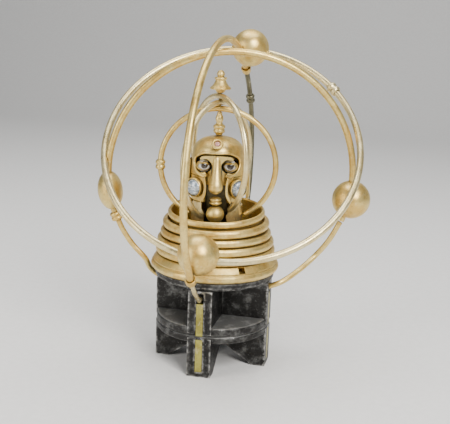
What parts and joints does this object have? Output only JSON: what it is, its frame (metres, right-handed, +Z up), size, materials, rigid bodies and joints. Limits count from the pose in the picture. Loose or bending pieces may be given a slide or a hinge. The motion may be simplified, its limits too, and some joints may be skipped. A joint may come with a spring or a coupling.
{
  "type": "armillary orrery",
  "caption": "Brass orrery with a turning mechanical mask bust under crossed hoops, planet balls on large ring orbits, a ringed collar and a finned iron base.",
  "frame": {"origin": "on the floor, under the middle of the bounding box; the turning axis of the base is 13.5 mm to -X and 2 mm to -Y of it", "axes": "+Z up along the turning axis, -Y the front that the front planet and the nose point to, +X the object's left hand side, on the right of a viewer in front"},
  "size_m": [0.2138, 0.2178, 0.269],
  "materials": {
    "brass": "aged satin brass, bright on the high points",
    "pale_brass": "pale silvery brass, polished",
    "dark_brass": "darkened olive brass",
    "inlay_brass": "yellow brass, brushed",
    "cast_iron": "dark cast metal with worn light edges",
    "shell": "silver blue mother-of-pearl cabochon",
    "rose_stone": "pink stone cabochon",
    "eye": "white enamel ball with a dark iris"
  },
  "bodies": {
    "stand": {"base_casting_lower": "cast_iron", "base_casting_upper": "cast_iron", "inlay_bar_lower_front": "inlay_brass", "inlay_bar_lower_right": "inlay_brass", "inlay_bar_lower_rear": "inlay_brass", "inlay_bar_lower_left": "inlay_brass", "inlay_bar_upper_front": "inlay_brass", "inlay_bar_upper_right": "inlay_brass", "inlay_bar_upper_rear": "inlay_brass", "inlay_bar_upper_left": "inlay_brass", "deck_plate": "cast_iron", "collar_flange": "brass", "collar_ring_1": "brass", "collar_ring_2": "brass", "collar_ring_3": "brass", "collar_ring_4": "brass", "collar_ring_5": "brass", "hoop_tilted": "pale_brass", "hoop_crossways": "brass", "hoop_fore": "brass", "rod_right": "brass", "rod_left": "brass", "rod_front": "pale_brass", "rod_rear": "dark_brass", "sleeve_left": "brass", "sleeve_rear": "dark_brass", "sleeve_tilted": "pale_brass", "clip_front": "brass", "clip_rear": "brass", "planet_top": "brass"},
    "bust": {"turntable": "dark_brass", "neck_drum": "dark_brass", "gorget": "pale_brass", "face_core": "brass", "helmet": "brass", "neck_guard": "brass", "cheek_plate_left": "brass", "cheek_plate_right": "brass", "cheek_bezel_left": "brass", "cheek_bezel_right": "brass", "cheek_disc_left": "shell", "cheek_disc_right": "shell", "medallion_bezel": "brass", "medallion_stone": "rose_stone", "nose": "brass", "lips": "brass", "chin_ball": "brass", "hoop_side": "brass", "hoop_diagonal_left": "pale_brass", "hoop_diagonal_right": "pale_brass", "sleeve_inner": "brass", "spindle": "brass"},
    "finial": {"finial": "brass"},
    "eye_right": {"eye_right": "eye"},
    "eye_left": {"eye_left": "eye"},
    "planet_front": {"planet_front": "brass"},
    "planet_right": {"planet_right": "brass"},
    "planet_left": {"planet_left": "brass"}
  },
  "joints": [
    {"name": "bust_turn", "type": "hinge", "parent": "stand", "child": "bust", "pos_m": [-0.0135, -0.002, 0.09], "axis": [0, 0, 1], "continuous": true},
    {"name": "finial_turn", "type": "hinge", "parent": "bust", "child": "finial", "pos_m": [-0.0135, -0.002, 0.222], "axis": [0, 0, 1], "continuous": true},
    {"name": "eye_right_turn", "type": "hinge", "parent": "bust", "child": "eye_right", "pos_m": [-0.00076, -0.01491, 0.1647], "axis": [0, 0, 1], "range_deg": [-18, 18]},
    {"name": "eye_left_turn", "type": "hinge", "parent": "bust", "child": "eye_left", "pos_m": [-0.02082, -0.0186, 0.1647], "axis": [0, 0, 1], "range_deg": [-18, 18]},
    {"name": "planet_front_travel", "type": "hinge", "parent": "stand", "child": "planet_front", "pos_m": [-0.0029, -0.0005, 0.1771], "axis": [0.1224, -0.7235, 0.6794], "range_deg": [-20, 25]},
    {"name": "planet_right_travel", "type": "hinge", "parent": "stand", "child": "planet_right", "pos_m": [-0.0032, 0.003, 0.1541], "axis": [0.2887, -0.9563, -0.0454], "range_deg": [-6, 14]},
    {"name": "planet_left_spin", "type": "hinge", "parent": "stand", "child": "planet_left", "pos_m": [-0.09624, -0.02443, 0.14014], "axis": [0.1236, 0.0842, -0.9888], "continuous": true}
  ],
  "couplings": [
    {"joint": "eye_left_turn", "follows": "eye_right_turn", "ratio": 1}
  ]
}
